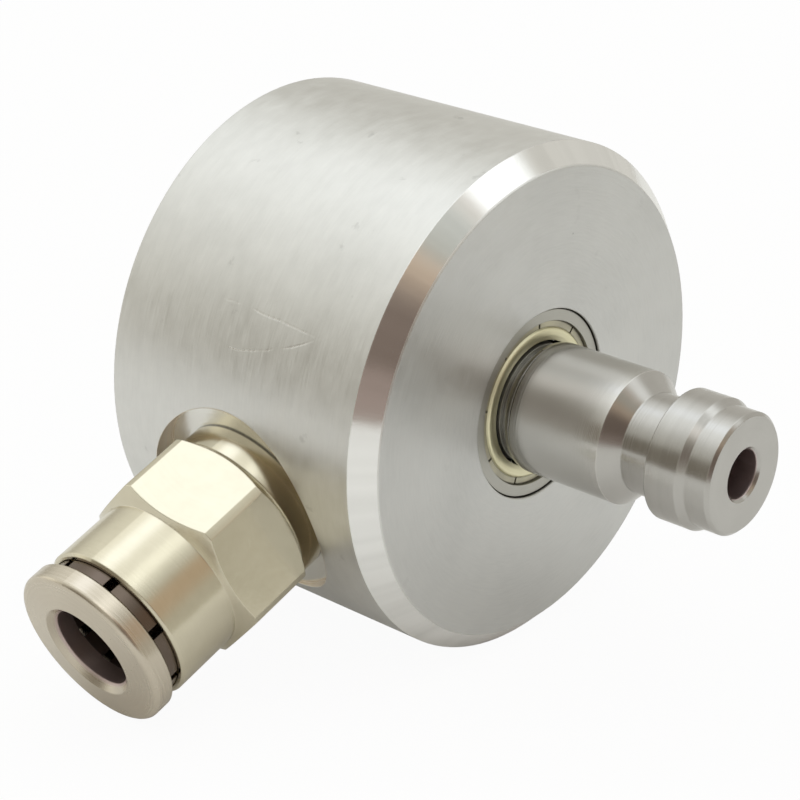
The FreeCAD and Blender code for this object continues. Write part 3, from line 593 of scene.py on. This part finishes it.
def finish_washer():
    finish = Finish("moulded_plastic", metallic=0.0)
    nodes = finish.nodes
    cloud = nodes.noise(finish.place, scale=500, detail=3.0)
    texture = nodes.noise(finish.place, scale=5200, detail=2.0)
    soft, edge = finish.rounded_edge(reach=0.05)
    colour = nodes.blend(cloud + (texture - 0.5) * 0.3, PLASTIC_SHADE, PLASTIC_LIT)
    roughness = 0.44 + (cloud - 0.5) * 0.16 - edge * 0.05
    finish.close(colour, roughness, texture, depth=0.006, normal=soft)
    finish.give("tube_seal_washer")


def finish_stop_ring():
    finish = Finish("pressed_brass", metallic=1.0)
    nodes = finish.nodes
    cloud = nodes.noise(finish.place, scale=600, detail=3.0)
    scoring = finish.scratches(size=0.9, width=0.02, share=0.5)
    soft, edge = finish.rounded_edge(reach=0.05)
    colour = nodes.blend(nodes.step(cloud, 0.35, 0.8) - edge * 0.2, BRASS_LIT, BRASS_TARNISH)
    roughness = 0.32 + (cloud - 0.5) * 0.2 + scoring * 0.12
    finish.close(colour, roughness, cloud - scoring * 0.6, depth=0.005, normal=soft)
    finish.give("collet_stop_ring")


finish_washer()
finish_stop_ring()


# Release collet: turned from brass, nickel plated like the fitting and slit into eight fingers.
# Its ring is pushed in by hand to let the tube go. The bore holds old oil, and the fingers in the
# gap behind the ring are painted dark brown as shade.

COLLET_LIT = (0.68, 0.62, 0.52, 1)
COLLET_SHADE = (0.57, 0.51, 0.42, 1)
GAP_PAINTED_SHADE = (0.10, 0.07, 0.055, 1)
RELEASE_REAR = 27.54
RING_BORE_RADIUS = 2.7


def finish_collet():
    finish = Finish("nickel_plated_collet", metallic=1.0)
    nodes = finish.nodes
    along, out = finish.turned_about(PORT_AXIS, PORT_FOOT)
    lines = finish.tool_lines(along + out, pitch=0.12, length=2.0)
    cloud = nodes.noise(finish.place, scale=330, detail=3.0)
    scratch = finish.scratches(size=2.2, width=0.008, share=0.48)
    soft, edge = finish.rounded_edge(reach=0.09)
    in_bore = 1 - nodes.step(out, RING_BORE_RADIUS + 0.02, RING_BORE_RADIUS + 0.2)
    behind = 1 - nodes.step(along, RELEASE_REAR - 0.06, RELEASE_REAR + 0.02)
    tone = 0.5 + (cloud - 0.5) * 0.9 + lines * 0.8
    colour = nodes.blend(tone, COLLET_SHADE, COLLET_LIT)
    colour = nodes.blend(in_bore * 0.8, colour, OLD_OIL)
    # Painted shade: the fingers in the gap behind the ring are painted dark brown.
    colour = nodes.blend(behind * 0.9, colour, GAP_PAINTED_SHADE)
    roughness = 0.25 + (cloud - 0.5) * 0.12 + lines * 0.1 + scratch * 0.08
    roughness = roughness + in_bore * 0.15 - edge * 0.04
    finish.close(colour, roughness, lines - scratch * 0.4, depth=0.005, normal=soft)
    finish.give("release_collet")


finish_collet()


# Studio: a white sheet under the housing, which ends on the camera's side, in a pale room with a
# bright ceiling. Windows and lamps light the part softly, and darker places on the wall give its
# metal something to mirror. Angles go round from +X towards +Y, and up from level.

FLOOR_NEAR = -118 * MILLIMETRE
FLOOR_FAR = 2000 * MILLIMETRE
FLOOR_TONE = (0.9, 0.9, 0.895, 1)
FLOOR_WHITE = 0.95
METAL_SHARE = 0.1
BLACK = (0, 0, 0, 1)
WHITE = (1, 1, 1, 1)
WALL = (0.50, 0.48, 0.41, 1)
CEILING = (0.62, 0.66, 0.70, 1)
CEILING_EDGE = 0.6
# Each patch of the room: its centre's two angles, how far it is full and where it ends, its colour
WALL_PARTS = {
    "tan_curtain": ((-94, 31), (14, 32), (0.50, 0.37, 0.25, 1)),
    "grey_rail": ((-91, 49), (5, 14), (0.33, 0.33, 0.27, 1)),
    "camera_corner": ((-122, 13), (12, 30), (0.11, 0.06, 0.03, 1)),
    "pink_shelf": ((-131, 1), (3, 12), (0.27, 0.19, 0.15, 1)),
    "left_shelf": ((160, 6), (14, 25), (0.17, 0.14, 0.09, 1)),
}
LIGHTS = {
    "back_window": ((99, 44), (8, 48), (0.40, 0.42, 0.43, 1)),
    "front_window": ((5, 20), (8, 55), (0.13, 0.13, 0.14, 1)),
    "left_window": ((114, 4), (8, 24), (0.50, 0.50, 0.46, 1)),
    "back_lamp": ((84, 69), (5, 14), (0.27, 0.31, 0.42, 1)),
    "front_lamp": ((-47, 50), (6, 16), (0.75, 0.79, 0.83, 1)),
    "top_lamp": ((-84, 73), (4, 11), (0.34, 0.37, 0.38, 1)),
    "camera_lamp": ((-134, 60), (6, 21), (0.70, 0.70, 0.70, 1)),
}
# The camera's place in metres, its axes, and its lens in millimetres
EYE = (-0.106322, -0.099880, 0.052011)
CAMERA_RIGHT = (0.660023, -0.749934, 0.044363)
CAMERA_UP = (0.248549, 0.273714, 0.929142)
CAMERA_BACK = (-0.708938, -0.602229, 0.367053)
LENS = 105.607
SENSOR = 36


def white_share(nodes):
    """How white a ray from the camera sees its surroundings. Metal and glass see less of it."""
    seen = nodes.add("LightPath", {}, {}, "Is Camera Ray")
    mirrored = nodes.add("LightPath", {}, {}, "Is Glossy Ray")
    mirrored = mirrored + nodes.add("LightPath", {}, {}, "Is Transmission Ray")
    return seen + mirrored * METAL_SHARE


def make_floor():
    mesh = bpy.data.meshes.new("floor")
    near, far = FLOOR_NEAR, FLOOR_FAR
    level = -HOUSING_RADIUS * MILLIMETRE
    places = [(x, y, level) for x, y in [(near, near), (far, near), (far, far), (near, far)]]
    mesh.from_pydata(places, [], [(0, 1, 2, 3)])
    floor = bpy.data.objects.new("floor", mesh)
    bpy.context.scene.collection.objects.link(floor)
    finish = Finish("white_floor", roughness=0.9, base_color=FLOOR_TONE)
    nodes = finish.nodes
    white = nodes.add("Emission", {}, {"Color": WHITE, "Strength": 1.0})
    lit = Wire(nodes, finish.shader.outputs[0])
    surface = nodes.add("MixShader", {}, {0: white_share(nodes) * FLOOR_WHITE, 1: lit, 2: white})
    nodes.join(nodes.tree.nodes["Material Output"], {"Surface": surface})
    mesh.materials.append(finish.material)


def patch(nodes, way, centre, reach):
    """1 within the first reach of a patch's centre and 0 beyond the second, both in degrees."""
    azimuth, height = (math.radians(angle) for angle in centre)
    level = math.cos(height)
    towards = (level * math.cos(azimuth), level * math.sin(azimuth), math.sin(height))
    near = nodes.vector_maths("DOT_PRODUCT", way, towards, "Value")
    inner, outer = (math.cos(math.radians(angle)) for angle in reach)
    return nodes.step(near, outer, inner)


def make_room():
    world = bpy.data.worlds.new("studio")
    bpy.context.scene.world = world
    nodes = Nodes(world)
    way = nodes.add("TexCoord", {}, {}, "Generated")
    up = nodes.vector_maths("DOT_PRODUCT", way, (0, 0, 1), "Value")
    colour = WALL
    for centre, reach, tone in WALL_PARTS.values():
        colour = nodes.blend(patch(nodes, way, centre, reach), colour, tone)
    ceiling = nodes.blend(nodes.step(up, CEILING_EDGE, 1.0), BLACK, CEILING)
    colour = nodes.vector_maths("ADD", colour, ceiling)
    for centre, reach, tone in LIGHTS.values():
        light = nodes.blend(patch(nodes, way, centre, reach), BLACK, tone)
        colour = nodes.vector_maths("ADD", colour, light)
    colour = nodes.blend(white_share(nodes), colour, WHITE)
    nodes.join(nodes.tree.nodes["Background"], {"Color": colour})


def make_camera():
    lens = bpy.data.cameras.new("camera")
    lens.lens = LENS
    lens.sensor_width = SENSOR
    lens.clip_start = 0.005
    lens.clip_end = 10
    camera = bpy.data.objects.new("camera", lens)
    bpy.context.scene.collection.objects.link(camera)
    turn = Matrix((CAMERA_RIGHT, CAMERA_UP, CAMERA_BACK)).transposed().to_4x4()
    camera.matrix_world = Matrix.Translation(EYE) @ turn
    bpy.context.scene.camera = camera


make_floor()
make_room()
make_camera()
bpy.context.scene.view_settings.view_transform = "Standard"
